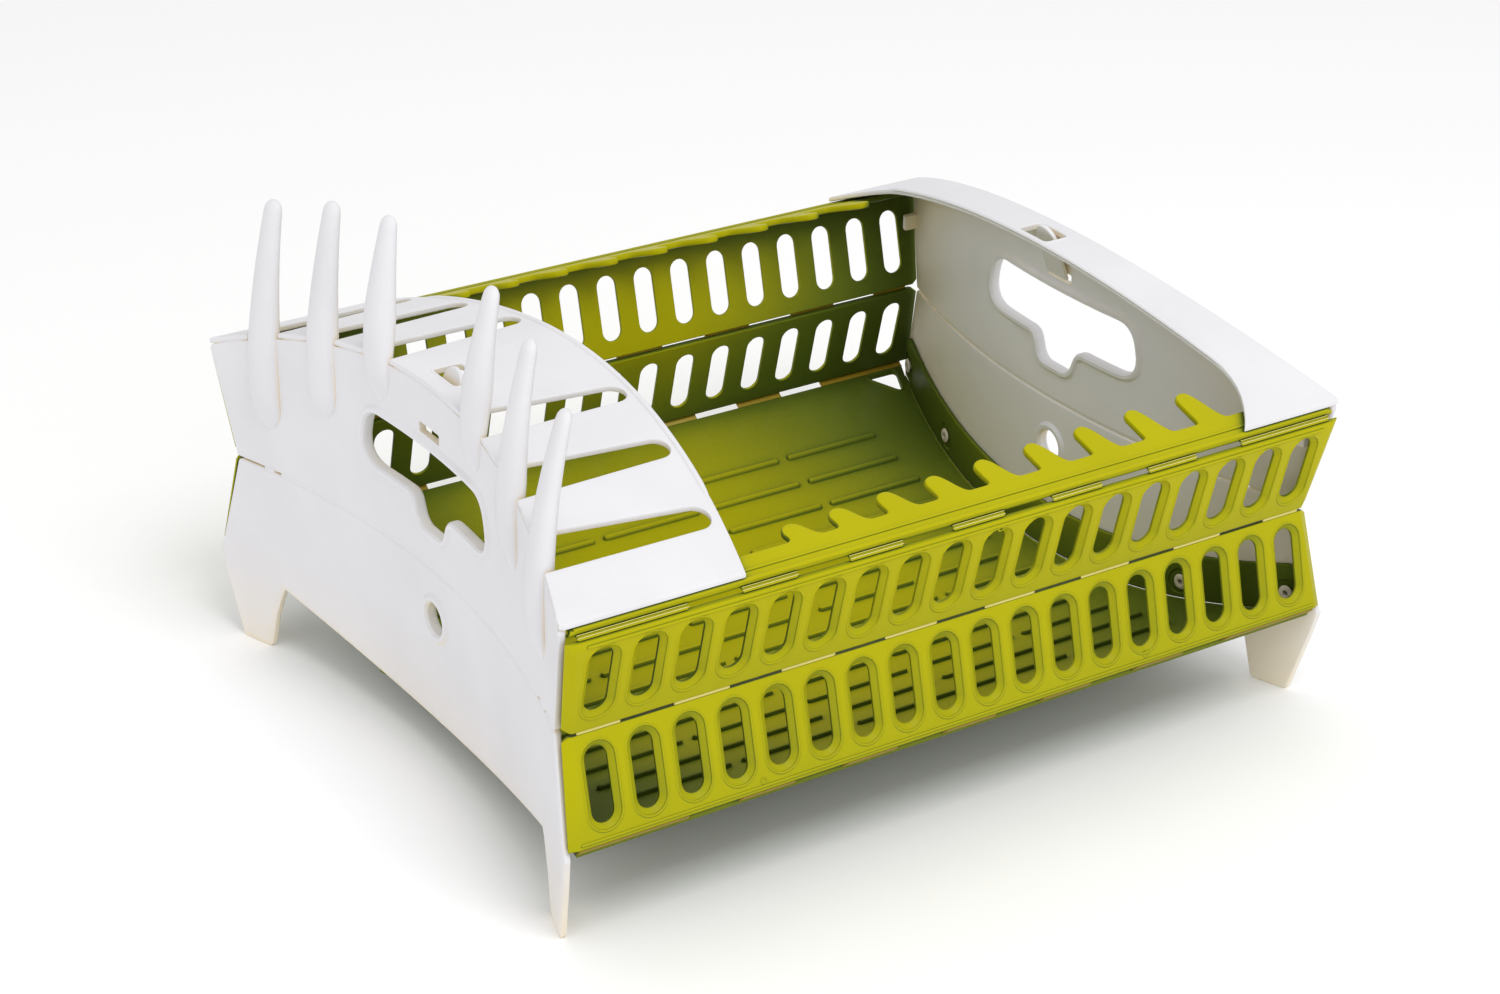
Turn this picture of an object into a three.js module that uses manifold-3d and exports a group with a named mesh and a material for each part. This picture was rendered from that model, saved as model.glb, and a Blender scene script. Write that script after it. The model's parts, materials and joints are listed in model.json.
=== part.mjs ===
// Collapsible dish drying rack: a sagging slotted tray, two zig-zag side walls with plate combs,
// and two bowed end walls with feet, handles, vaulted flaps and, at one end, cup prongs.
// Millimetres, +Z up. X is the long axis, the cup prongs stand at the -X end.
// The origin is in the middle of the footprint, on the surface that the feet stand on.
import * as THREE from 'three';
import { mergeVertices } from 'three/addons/utils/BufferGeometryUtils.js';
import Module from 'manifold-3d';

const wasm = await Module();
wasm.setup();

// ---------- driving dimensions ----------
const HALF_WIDTH = 187; // |y| of the rack's long edges
const GAP = 0.4; // clearance kept between neighbouring pieces
const CURVE_STEPS = 24; // facets along each bowed edge

// bowed end walls: the wall's middle surface is at x = WALL_MID + WALL_BOW * (y / HALF_WIDTH)^2
const WALL_MID = 191;
const WALL_BOW = 35;
const WALL_THICK = 4;

// sagging tray
const TRAY_MID_Z = 19.5; // top face at the middle of the rack
const TRAY_RISE = 34.5; // how much higher the tray is at its long edges
const TRAY_THICK = 3;
const FLANGE_HEIGHT = 27;
const FLANGE_THICK = 2.5;

// zig-zag side walls
const SIDE_AXIS_Y = 183.3; // |y| of the bottom and top hinge lines
const SIDE_AXIS_Z = 53.5; // height of the bottom hinge line
const SIDE_LEAN = THREE.MathUtils.degToRad(13.9);
const SIDE_THICK = 4;
const SIDE_HEIGHT = 55.4; // along the panel, from hinge line to hinge line
const HINGE_GAP = 1; // panel edge to the hinge line it folds about
const SIDE_OVERLAP = 1; // the panels cover the end walls' side edges, to this far past the middle surface
const CREASE_GAP = 0.5; // panel edge to the middle crease
const SLOT_COUNT = 18;
const SLOT_PITCH = 24;
const SLOT_WIDTH = 12;
const SLOT_LENGTH = 37.3;

// plate combs
const STRIP_TILT = THREE.MathUtils.degToRad(20);
const STRIP_THICK = 3.6;
const GULLET_HEIGHT = 16.5; // along the strip, from its hinge line to the bottom of the gullets
const TOOTH_COUNT = 9;

// end wall outline
const CREASE_Z = SIDE_AXIS_Z + SIDE_HEIGHT * Math.cos(SIDE_LEAN) + SIDE_THICK * Math.sin(SIDE_LEAN);
const WALL_TOP_MID = 205.6;
const WALL_TOP_DROP = 39.5;
const LEG_EDGE_Y = 185;
const WALL_EDGE_Y = 182.3; // the walls' side edges stand behind the side panels
const WALL_CREASE_Y = 167; // and leave room for the panels to start folding
const LEG_THICKER = 2.5; // the legs stand proud of the wall's outer face by this much

// flaps
const FLAP_THICK = 3;
const FLAP_EDGE_Y = 183;
const FLAP_UNDER_MID = 206;

const PRONGS = [ // root and tip, each at y, z and the tip's distance from the middle plane
  { rootY: 48, rootZ: 181, tipX: 183.5, tipY: 51.5, tipZ: 275 },
  { rootY: 96.5, rootZ: 154, tipX: 190.6, tipY: 99, tipZ: 268 },
  { rootY: 142, rootZ: 132, tipX: 200.3, tipY: 147, tipZ: 255 },
];
const PRONG_ROOT_RADIUS = 10;
const PRONG_TIP_RADIUS = 5.7;
const PRONG_FLATNESS = 0.62; // thickness over width
const PRONG_PROUD = 1.5; // root's centre in front of the wall's outer face

const RIVET_SPOTS = [106, 168]; // |y| of the rivets
const RIVET_RISE = 10.5; // above the tray's edge
const RIVET_RADIUS = 2.5;
const RIVET_HEAD = 4.6;

const GREEN = new THREE.MeshStandardMaterial({ color: 0xb2ad0c, roughness: 0.42, metalness: 0 });
const WHITE = new THREE.MeshStandardMaterial({ color: 0xe8e7ea, roughness: 0.38, metalness: 0 });

// ---------- curves of the folded sheets ----------
const bow = (y) => (y / HALF_WIDTH) ** 2;
const wallX = (y) => WALL_MID + WALL_BOW * bow(y);
const wallSlope = (y) => (2 * WALL_BOW * y) / HALF_WIDTH ** 2;
const trayZ = (y) => TRAY_MID_Z + TRAY_RISE * bow(y);
const wallTopZ = (y) => WALL_TOP_MID - WALL_TOP_DROP * bow(y);
const flapUnderZ = (y) => FLAP_UNDER_MID - WALL_TOP_DROP * bow(y);
const wideFlapX = (y) => 107.5 + 23 * bow(y);
const narrowFlapX = (y) => {
  const turn = Math.max(0, Math.abs(y) - 138) / 45;
  return 165.5 + 25 * bow(y) - 26 * turn ** 2;
};

// ---------- solid helpers ----------
function solid(geometry) {
  const bare = geometry.index ? geometry.toNonIndexed() : geometry.clone();
  bare.deleteAttribute('normal');
  bare.deleteAttribute('uv');
  const merged = mergeVertices(bare, 1e-4);
  return new wasm.Manifold(new wasm.Mesh({
    numProp: 3,
    vertProperties: new Float32Array(merged.attributes.position.array),
    triVerts: new Uint32Array(merged.index.array),
  }));
}

function geometryOf(body) {
  const mesh = body.getMesh();
  const geometry = new THREE.BufferGeometry();
  geometry.setAttribute('position', new THREE.BufferAttribute(mesh.vertProperties, 3));
  geometry.setIndex(new THREE.BufferAttribute(mesh.triVerts, 1));
  geometry.computeVertexNormals();
  return geometry;
}

const AXIS_FRAME = {
  X: new THREE.Matrix4().makeBasis(new THREE.Vector3(0, 1, 0), new THREE.Vector3(0, 0, 1),
    new THREE.Vector3(1, 0, 0)),
  Z: new THREE.Matrix4(),
};

// A prism of a flat outline: (y, z) outlines run along X, (x, y) outlines run along Z.
function prism(outline, axis, from, to) {
  const shape = outline instanceof THREE.Shape ? outline : new THREE.Shape(outline);
  const geometry = new THREE.ExtrudeGeometry(shape,
    { depth: to - from, bevelEnabled: false, curveSegments: 6 });
  geometry.translate(0, 0, from);
  geometry.applyMatrix4(AXIS_FRAME[axis]);
  return solid(geometry);
}

function span(from, to, steps, point) {
  return Array.from({ length: steps + 1 }, (_, i) => point(from + ((to - from) * i) / steps));
}

const v2 = (a, b) => new THREE.Vector2(a, b);

// A polygon whose corners are rounded by arcs of the given radii.
function roundedPolygon(corners, radii, Kind = THREE.Shape) {
  const shape = new Kind();
  corners.forEach((corner, i) => {
    const before = corners[(i + corners.length - 1) % corners.length];
    const after = corners[(i + 1) % corners.length];
    const inward = before.clone().sub(corner).normalize();
    const outward = after.clone().sub(corner).normalize();
    const half = Math.acos(THREE.MathUtils.clamp(inward.dot(outward), -1, 1)) / 2;
    const reach = radii[i] / Math.tan(half);
    const start = corner.clone().addScaledVector(inward, reach);
    const end = corner.clone().addScaledVector(outward, reach);
    if (i === 0) shape.moveTo(start.x, start.y);
    else shape.lineTo(start.x, start.y);
    shape.quadraticCurveTo(corner.x, corner.y, end.x, end.y);
  });
  shape.closePath();
  return shape;
}

function obround(cx, cy, width, length, steps = 6) {
  const r = width / 2;
  const reach = length / 2 - r;
  return [
    ...span(0, Math.PI, steps, (a) => v2(cx + r * Math.cos(a), cy + reach + r * Math.sin(a))),
    ...span(Math.PI, 2 * Math.PI, steps, (a) => v2(cx + r * Math.cos(a), cy - reach + r * Math.sin(a))),
  ];
}

function piece(name, body, material) {
  const mesh = new THREE.Mesh(geometryOf(body), material);
  mesh.name = name;
  return mesh;
}

// The bowed band between two offsets from the end wall's middle surface, upright.
function wallBand(inner, outer, halfWidth, from, to) {
  const outline = [
    ...span(-halfWidth, halfWidth, CURVE_STEPS, (y) => v2(wallX(y) + outer, y)),
    ...span(halfWidth, -halfWidth, CURVE_STEPS, (y) => v2(wallX(y) + inner, y)),
  ];
  return prism(outline, 'Z', from, to);
}

// The vaulted band between two heights that depend on y, running along X.
function vaultBand(lowZ, highZ, halfWidth, from, to) {
  const outline = [
    ...span(-halfWidth, halfWidth, CURVE_STEPS, (y) => v2(y, lowZ(y))),
    ...span(halfWidth, -halfWidth, CURVE_STEPS, (y) => v2(y, highZ(y))),
  ];
  return prism(outline, 'X', from, to);
}

// The plan area between the two end walls, less a clearance, for cutting pieces to length.
function betweenWalls(clearance, halfWidth) {
  const inside = (y) => wallX(y) - clearance;
  const outline = [
    ...span(-halfWidth, halfWidth, CURVE_STEPS, (y) => v2(inside(y), y)),
    ...span(halfWidth, -halfWidth, CURVE_STEPS, (y) => v2(-inside(y), y)),
  ];
  return prism(outline, 'Z', -10, 300);
}

// ---------- tray ----------
const RIB_ROWS = 6; // on each side of the middle row
const RIB_ROW_PITCH = 22.4;
const RIB_LENGTH = 60;
const RIB_PITCH = 68;
const RIB_HEIGHT = 4;
const RIB_WIDTH = 3;

function trayRibs() {
  let ribs = null;
  for (let row = -RIB_ROWS; row <= RIB_ROWS; row += 1) {
    for (let n = -2; n <= 2; n += 1) {
      const y = row * RIB_ROW_PITCH;
      const bar = new THREE.BoxGeometry(RIB_LENGTH, RIB_WIDTH, RIB_HEIGHT + 2);
      bar.translate(n * RIB_PITCH, y, trayZ(y) + RIB_HEIGHT / 2 - 1);
      ribs = ribs ? ribs.add(solid(bar)) : solid(bar);
    }
  }
  return ribs;
}

function trayFloor() {
  const edge = SIDE_AXIS_Y - HINGE_GAP;
  const flangeFace = WALL_THICK / 2 + GAP + FLANGE_THICK + GAP;
  let floor = vaultBand((y) => trayZ(y) - TRAY_THICK, trayZ, edge, -230, 230);
  floor = floor.intersect(betweenWalls(flangeFace, edge + 1));
  const drain = [v2(194, 179), v2(211.5, 178.5), v2(205.5, 165)];
  for (const sx of [1, -1]) {
    for (const sy of [1, -1]) {
      const corners = drain.map((p) => v2(p.x * sx, p.y * sy));
      if (sx * sy < 0) corners.reverse();
      floor = floor.subtract(prism(roundedPolygon(corners, [1.5, 2, 2]), 'Z', 30, 80));
    }
  }
  return piece('tray_floor', floor.add(trayRibs()), GREEN);
}

// ---------- side walls ----------
// Panels are drawn flat in (x, along the panel), with +thickness pointing out of the rack,
// and then stood up at the front of the rack. The back pieces are the same ones turned round.
function standUp(geometry, turn, y, z) {
  geometry.rotateX(Math.PI / 2);
  geometry.rotateX(turn);
  geometry.translate(0, y, z);
  return solid(geometry);
}

function slottedPlate(bottom, top) {
  const plate = new THREE.Shape([v2(-228, bottom), v2(228, bottom), v2(228, top), v2(-228, top)]);
  for (let i = 0; i < SLOT_COUNT; i += 1) {
    const x = (i - (SLOT_COUNT - 1) / 2) * SLOT_PITCH;
    plate.holes.push(new THREE.Path(obround(x, SIDE_HEIGHT / 2 + 1, SLOT_WIDTH, SLOT_LENGTH)));
  }
  return new THREE.ExtrudeGeometry(plate, { depth: SIDE_THICK, bevelEnabled: false });
}

const endClearance = WALL_THICK / 2 + 2 * GAP;

function lowerPanel(name) {
  const flat = slottedPlate(HINGE_GAP, SIDE_HEIGHT - CREASE_GAP);
  const panel = standUp(flat, -SIDE_LEAN, -SIDE_AXIS_Y, SIDE_AXIS_Z);
  return piece(name, panel.intersect(betweenWalls(-SIDE_OVERLAP, 200)), GREEN);
}

function upperPanel(name) {
  const flat = slottedPlate(CREASE_GAP, SIDE_HEIGHT - HINGE_GAP);
  flat.translate(0, -SIDE_HEIGHT, 0);
  const panel = standUp(flat, SIDE_LEAN, -SIDE_AXIS_Y, 2 * CREASE_Z - SIDE_AXIS_Z);
  return piece(name, panel.intersect(betweenWalls(-SIDE_OVERLAP, 200)), GREEN);
}

// One tooth rises steeply to a round tip and falls in a long curve to the next gullet.
function plateStrip(name, tips) {
  const outline = new THREE.Shape();
  outline.moveTo(-228, HINGE_GAP);
  outline.lineTo(228, HINGE_GAP);
  outline.lineTo(228, GULLET_HEIGHT);
  for (const { x, height } of [...tips].reverse()) {
    outline.lineTo(x + 15, GULLET_HEIGHT);
    outline.bezierCurveTo(x + 9, GULLET_HEIGHT, x + 7, height, x + 1, height);
    outline.quadraticCurveTo(x - 4.5, height, x - 4.5, height - 5);
    outline.lineTo(x - 3, GULLET_HEIGHT);
  }
  outline.lineTo(-228, GULLET_HEIGHT);
  outline.closePath();
  const flat = new THREE.ExtrudeGeometry(outline,
    { depth: STRIP_THICK, bevelEnabled: false, curveSegments: 4 });
  // lying flat with its teeth pointing into the rack, then tilted up about its hinge line
  flat.rotateX(STRIP_TILT);
  flat.translate(0, -SIDE_AXIS_Y, 2 * CREASE_Z - SIDE_AXIS_Z);
  return piece(name, solid(flat).intersect(betweenWalls(endClearance, 200)), GREEN);
}

const frontTips = Array.from({ length: TOOTH_COUNT }, (_, i) => (
  { x: -92.5 + 27 * i + 0.465 * i * (i - 1), height: 26.8 + 1.45 * i }));
const backTips = Array.from({ length: TOOTH_COUNT }, (_, i) => (
  { x: -165 + 34 * i - 0.35 * i * (i - 1), height: 38.4 - 1.45 * i }));

// ---------- end walls, drawn at the +X end ----------
function lowerWallOutline() {
  const top = CREASE_Z - CREASE_GAP;
  const right = [v2(WALL_CREASE_Y, top), v2(WALL_EDGE_Y, 54), v2(LEG_EDGE_Y, 53), v2(181.5, 36),
    v2(172, 1.5), v2(170.5, 0), v2(152.5, 0), v2(151, 1.5), v2(146, 21), v2(141, 35)];
  const arch = span(138, -138, CURVE_STEPS, (y) => v2(y, trayZ(y) + 1));
  const left = right.map((p) => v2(-p.x, p.y)).reverse();
  return [...right, ...arch, ...left].reverse();
}

function upperWallOutline() {
  const bottom = CREASE_Z + CREASE_GAP;
  return [v2(-WALL_CREASE_Y, bottom), v2(WALL_CREASE_Y, bottom), v2(WALL_EDGE_Y, wallTopZ(WALL_EDGE_Y) - 2),
    ...span(WALL_EDGE_Y - 2, 2 - WALL_EDGE_Y, CURVE_STEPS, (y) => v2(y, wallTopZ(y))),
    v2(-WALL_EDGE_Y, wallTopZ(WALL_EDGE_Y) - 2)];
}

const HAND_HOLE = {
  corners: [v2(-59, 172.5), v2(-67, 144), v2(-18, 144), v2(-12, 128.5), v2(12, 128.5), v2(18, 144),
    v2(67, 144), v2(59, 172.5)],
  radii: [10, 9, 5, 6, 6, 5, 9, 10],
};
const HOOK_HOLE = { z: 80.5, radius: 8.5 };

function rivetHoles(from, to, radius) {
  let holes = null;
  for (const y of rivetYs()) {
    const hole = new THREE.CylinderGeometry(radius, radius, to - from, 12);
    hole.rotateZ(-Math.PI / 2);
    hole.translate((from + to) / 2, 0, 0);
    hole.rotateZ(-Math.atan(wallSlope(y)));
    hole.translate(wallX(y), y, trayZ(y) + RIVET_RISE);
    holes = holes ? holes.add(solid(hole)) : solid(hole);
  }
  return holes;
}

function rivetYs() {
  return RIVET_SPOTS.flatMap((y) => [-y, y]);
}

function lowerWall(name) {
  const half = WALL_THICK / 2;
  let wall = wallBand(-half, half, 195, -5, 120);
  const legs = wallBand(half - 1, half + LEG_THICKER, 195, -5, 50).subtract(wallBand(0, 20, 138, -6, 51));
  wall = wall.add(legs).intersect(prism(lowerWallOutline(), 'X', 150, 260));
  const hook = new THREE.CylinderGeometry(HOOK_HOLE.radius, HOOK_HOLE.radius, 60, 20);
  hook.rotateZ(Math.PI / 2);
  hook.translate(WALL_MID, 0, HOOK_HOLE.z);
  wall = wall.subtract(solid(hook)).subtract(rivetHoles(-20, 20, RIVET_RADIUS + GAP));
  return piece(name, wall, WHITE);
}

function prong(root, tip) {
  const length = tip.distanceTo(root);
  const slope = (PRONG_ROOT_RADIUS - PRONG_TIP_RADIUS) / length;
  const radiusAt = (h) => PRONG_ROOT_RADIUS - slope * h;
  const profile = [
    ...span(0, 90, 3, (a) => v2(PRONG_ROOT_RADIUS * Math.sin(a * THREE.MathUtils.DEG2RAD),
      PRONG_ROOT_RADIUS * (1 - Math.cos(a * THREE.MathUtils.DEG2RAD)))),
    ...span(90, 0, 3, (a) => v2(radiusAt(length - PRONG_TIP_RADIUS) * Math.sin(a * THREE.MathUtils.DEG2RAD),
      length - PRONG_TIP_RADIUS * (1 - Math.cos(a * THREE.MathUtils.DEG2RAD)))),
  ];
  profile[0].x = 0;
  profile[profile.length - 1].x = 0;
  const finger = new THREE.LatheGeometry(profile, 12);
  finger.scale(PRONG_FLATNESS, 1, 1);
  finger.rotateX(Math.PI / 2);
  const direction = tip.clone().sub(root).normalize();
  finger.applyQuaternion(new THREE.Quaternion().setFromUnitVectors(new THREE.Vector3(0, 0, 1), direction));
  finger.translate(root.x, root.y, root.z);
  return solid(finger);
}

function upperWall(name, withProngs) {
  const half = WALL_THICK / 2;
  let wall = wallBand(-half, half, 195, 100, 215).intersect(prism(upperWallOutline(), 'X', 150, 260));
  wall = wall.subtract(prism(roundedPolygon(HAND_HOLE.corners, HAND_HOLE.radii), 'X', 150, 260));
  const pocket = new THREE.BoxGeometry(40, 20, 6);
  pocket.translate(WALL_MID, 0, 182);
  wall = wall.subtract(solid(pocket));
  for (const side of [-1, 1]) {
    const catchTab = new THREE.BoxGeometry(10, 5, 9);
    catchTab.translate(wallX(173) - half - 4, side * 173, 149);
    wall = wall.add(solid(catchTab));
    if (withProngs) {
      for (const { rootY, rootZ, tipX, tipY, tipZ } of PRONGS) {
        const root = new THREE.Vector3(wallX(rootY) + half + PRONG_PROUD, side * rootY, rootZ);
        wall = wall.add(prong(root, new THREE.Vector3(tipX, side * tipY, tipZ)));
      }
    }
  }
  return piece(name, wall, WHITE);
}

function endFlange(name) {
  const outer = -(WALL_THICK / 2 + GAP);
  const reach = 175;
  const band = wallBand(outer - FLANGE_THICK, outer, reach, 0, 120);
  const strip = vaultBand((y) => trayZ(y) + GAP, (y) => trayZ(y) + FLANGE_HEIGHT, reach + 1, 150, 260);
  return piece(name, band.intersect(strip).subtract(rivetHoles(-20, 20, RIVET_RADIUS + GAP)), GREEN);
}

function rivet(name, y) {
  const outside = WALL_THICK / 2 + GAP;
  const inside = -(WALL_THICK / 2 + GAP + FLANGE_THICK + GAP);
  const headHeight = 1.4;
  const profile = [v2(0, inside - headHeight), v2(RIVET_HEAD - 1, inside - headHeight),
    v2(RIVET_HEAD, inside), v2(RIVET_RADIUS, inside), v2(RIVET_RADIUS, outside), v2(RIVET_HEAD, outside),
    v2(RIVET_HEAD - 1, outside + headHeight), v2(0, outside + headHeight)];
  const body = new THREE.LatheGeometry(profile, 12);
  body.rotateZ(-Math.PI / 2);
  const mesh = piece(name, solid(body), WHITE);
  mesh.rotation.z = -Math.atan(wallSlope(y));
  mesh.position.set(wallX(y), y, trayZ(y) + RIVET_RISE);
  return mesh;
}

// The latch tongue leans from a pocket in the wall up through a slot in the flap.
const TONGUE = { footX: 188.2, footZ: 182, headX: 176.5, headZ: 213, width: 17, thick: 2.4 };
const TONGUE_SLOT = { from: 169, to: 184, halfWidth: 11.5 };

function latchTongue(name) {
  const length = Math.hypot(TONGUE.headX - TONGUE.footX, TONGUE.headZ - TONGUE.footZ);
  const r = TONGUE.width / 2;
  const outline = [v2(-r, 0), v2(r, 0),
    ...span(0, Math.PI, 10, (a) => v2(r * Math.cos(a), length - r + r * Math.sin(a)))];
  const tab = new THREE.ExtrudeGeometry(new THREE.Shape(outline),
    { depth: TONGUE.thick, bevelEnabled: false });
  tab.translate(0, 0, -TONGUE.thick / 2);
  tab.rotateX(Math.PI / 2);
  tab.rotateZ(Math.PI / 2);
  tab.rotateY(Math.atan2(TONGUE.headX - TONGUE.footX, TONGUE.headZ - TONGUE.footZ));
  tab.translate(TONGUE.footX, 0, TONGUE.footZ);
  return piece(name, solid(tab), WHITE);
}

// ---------- flaps ----------
function prongSlot(prongSpec, side) {
  const { rootY, tipY } = prongSpec;
  const end = wideFlapX(tipY) + 5;
  const start = wallX(rootY) + 12;
  const drift = tipY - rootY;
  const rootHalf = PRONG_ROOT_RADIUS + 2;
  const tipHalf = PRONG_TIP_RADIUS + 1.6;
  const outline = [v2(start, rootY - rootHalf), v2(start, rootY + rootHalf),
    ...span(90, 270, 8, (a) => v2(end + tipHalf + tipHalf * Math.cos(a * THREE.MathUtils.DEG2RAD),
      rootY + drift + tipHalf * Math.sin(a * THREE.MathUtils.DEG2RAD)))];
  const placed = outline.map((p) => v2(p.x, side * p.y));
  return prism(side < 0 ? placed.reverse() : placed, 'Z', 120, 260);
}

function flap(name, innerX, slotted) {
  const outerX = (y) => wallX(y) + WALL_THICK / 2;
  const outline = [
    ...span(-FLAP_EDGE_Y, FLAP_EDGE_Y, CURVE_STEPS, (y) => v2(outerX(y), y)),
    ...span(FLAP_EDGE_Y, -FLAP_EDGE_Y, CURVE_STEPS, (y) => v2(innerX(y), y)),
  ];
  let sheet = vaultBand(flapUnderZ, (y) => flapUnderZ(y) + FLAP_THICK, FLAP_EDGE_Y + 1, 90, 240);
  sheet = sheet.intersect(prism(outline, 'Z', 120, 260));
  const { from, to, halfWidth } = TONGUE_SLOT;
  const latchSlot = [v2(from, -halfWidth), v2(to, -halfWidth), v2(to, halfWidth), v2(from, halfWidth)];
  sheet = sheet.subtract(prism(latchSlot, 'Z', 120, 260));
  if (slotted) {
    for (const spec of PRONGS) {
      sheet = sheet.subtract(prongSlot(spec, 1)).subtract(prongSlot(spec, -1));
    }
  }
  return piece(name, sheet, WHITE);
}

// ---------- assembly ----------
function endAssembly(side, withProngs, innerX) {
  const group = new THREE.Group();
  group.add(lowerWall(`${side}_wall_lower`));
  group.add(upperWall(`${side}_wall_upper`, withProngs));
  group.add(endFlange(`${side}_end_flange`));
  group.add(latchTongue(`${side}_latch_tongue`));
  group.add(flap(`${side}_flap`, innerX, withProngs));
  rivetYs().forEach((y, i) => group.add(rivet(`${side}_rivet_${i + 1}`, y)));
  return group;
}

function sideAssembly(side, tips) {
  const group = new THREE.Group();
  group.add(lowerPanel(`${side}_lower_panel`));
  group.add(upperPanel(`${side}_upper_panel`));
  group.add(plateStrip(`${side}_plate_strip`, tips));
  return group;
}

const rack = new THREE.Group();
rack.add(trayFloor());
rack.add(sideAssembly('front', frontTips));
const back = sideAssembly('back', backTips);
back.rotation.z = Math.PI;
rack.add(back);
rack.add(endAssembly('right', false, narrowFlapX));
const left = endAssembly('left', true, wideFlapX);
left.rotation.z = Math.PI;
rack.add(left);

export default rack;
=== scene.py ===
"""Collapsible dish drying rack: the moulded pieces with their edges, rims, beads and living hinges,
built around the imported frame. Sizes inside the shape functions are millimetres."""

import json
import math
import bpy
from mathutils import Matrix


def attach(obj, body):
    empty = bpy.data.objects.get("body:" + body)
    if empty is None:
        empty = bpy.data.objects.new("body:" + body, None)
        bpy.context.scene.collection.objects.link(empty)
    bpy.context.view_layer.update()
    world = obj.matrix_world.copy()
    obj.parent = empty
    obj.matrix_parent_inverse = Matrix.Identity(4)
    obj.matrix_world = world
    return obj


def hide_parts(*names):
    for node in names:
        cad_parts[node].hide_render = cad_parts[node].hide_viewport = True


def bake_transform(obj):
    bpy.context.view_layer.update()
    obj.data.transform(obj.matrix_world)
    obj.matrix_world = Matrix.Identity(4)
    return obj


bl_info = {
    "name": "Collapsible Dish Rack",
    "version": (1, 0, 0),
    "blender": (4, 5, 0),
    "location": "View3D > Sidebar > Dish Rack",
    "description": "Builds a collapsible dish drying rack around its packed frame",
    "category": "Object",
}

import bmesh
import bpy
from bpy.props import FloatProperty, FloatVectorProperty, PointerProperty
from mathutils import Matrix, Vector

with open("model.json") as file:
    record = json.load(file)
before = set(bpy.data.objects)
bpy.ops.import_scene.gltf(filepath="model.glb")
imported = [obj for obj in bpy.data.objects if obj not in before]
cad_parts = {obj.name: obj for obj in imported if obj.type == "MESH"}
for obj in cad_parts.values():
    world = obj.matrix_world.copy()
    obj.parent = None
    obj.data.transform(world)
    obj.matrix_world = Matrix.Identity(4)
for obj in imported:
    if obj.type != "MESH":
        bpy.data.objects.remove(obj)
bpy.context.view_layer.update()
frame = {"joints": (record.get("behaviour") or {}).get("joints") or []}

MM = 0.001
HINGES = {joint["name"]: [round(value / MM, 3) for value in joint["pos_m"]] for joint in frame["joints"]}
ENDS = ((1, "right"), (-1, "left"))

# end walls, bowed in plan: the middle surface is WALL_MID + WALL_BOW * bow(y) from the middle plane
HALF_WIDTH = 187.0
WALL_MID, WALL_BOW, WALL_THICK = 191.0, 35.0, 4.0
WALL_TOP_MID, WALL_TOP_DROP = 205.6, 39.5
WALL_EDGE, CREASE_EDGE = 182.3, 167.0  # half widths of the end walls behind the side panels
WALL_SLITS = (135.0, 140.5, 147.5)  # the crease web ends, starts again and ends for good
WALL_CREASE = 0.75  # half the gap between the lower and the upper wall
SIDE_OVERLAP = -0.5  # the side panels end this far past the walls' middle surface
WALL_CUTS, FLANGE_CUTS = 184, 168  # how far out the flat sheets are cut into strips to be bowed
LATCH_POCKET, LATCH_SLOT = (-10, 10, 179.4, 184.8, 1), (169, 184, -11.5, 11.5, 2.5)
CATCH_TAB = (170.6, 175.4, 144.6, 153.4, 8.6)  # the corner tabs' y and z, and how far they reach in

# flaps: the free edge of the wide one at the left, and of the narrow one, whose corners turn inward
FLAP_UNDER_MID, FLAP_THICK, FLAP_EDGE = 206.0, 3.0, 183.0
WIDE_MID, WIDE_BOW = 107.5, 23.0
NARROW_MID, NARROW_BOW = 165.5, 25.0
NARROW_TURN_FROM, NARROW_TURN_LONG, NARROW_TURN_IN = 138.0, 45.0, 26.0

# sagging tray and its upright end flanges
TRAY_MID, TRAY_RISE, TRAY_THICK, TRAY_EDGE = 19.5, 34.5, 3.0, 182.3
FLANGE_THICK, FLANGE_HEIGHT, FLANGE_REACH, FLANGE_SETBACK = 2.5, 27.0, 175.0, 4.9
RIVET_SPOTS, RIVET_RISE = (106.0, 168.0), 10.5
DRAIN = (((190.5, 180.2), 2.2), ((213, 180.2), 2.6), ((206.5, 162.5), 2.6))
RIB_ROWS, RIB_ROW_PITCH = range(-6, 7), 22.4
RIB_DASHES, RIB_PITCH, RIB_LONG, RIB_WIDE = range(-2, 3), 68.0, 62.0, 3.4
TRAY_PIN_MARKS = ((0, 150), (0, -150), (-190, 60), (190, -60), (182, 60), (-182, -60))

# zig-zag side walls
SIDE_Y, SIDE_Z = -HINGES["front_lower_fold"][1], HINGES["front_lower_fold"][2]
SIDE_THICK, SIDE_HEIGHT = 4.0, 55.4
LEAN = math.radians(13.9)
CREASE_Z = SIDE_Z + SIDE_HEIGHT * math.cos(LEAN) + SIDE_THICK * math.sin(LEAN)
CREASE_Y = SIDE_Y - SIDE_HEIGHT * math.sin(LEAN) + SIDE_THICK * math.cos(LEAN)
TOP_Z = 2 * CREASE_Z - SIDE_Z
SIDE_END_GAP = 2.8
HINGE_REACH = (219.0, 213.0, 218.0)  # half lengths of the bottom, middle and top hinge webs
SLOT_COUNT, SLOT_PITCH, SLOT_WIDTH, SLOT_LENGTH = 18, 24.0, 12.0, 37.3
PANEL_PIN_MARKS = {"lower": ((-120.0, 6.0), (108.0, 6.0)), "upper": ((12.0, 50.0),)}
STRIP_TILT, STRIP_THICK, GULLET = math.radians(20), 3.6, 16.5
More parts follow.
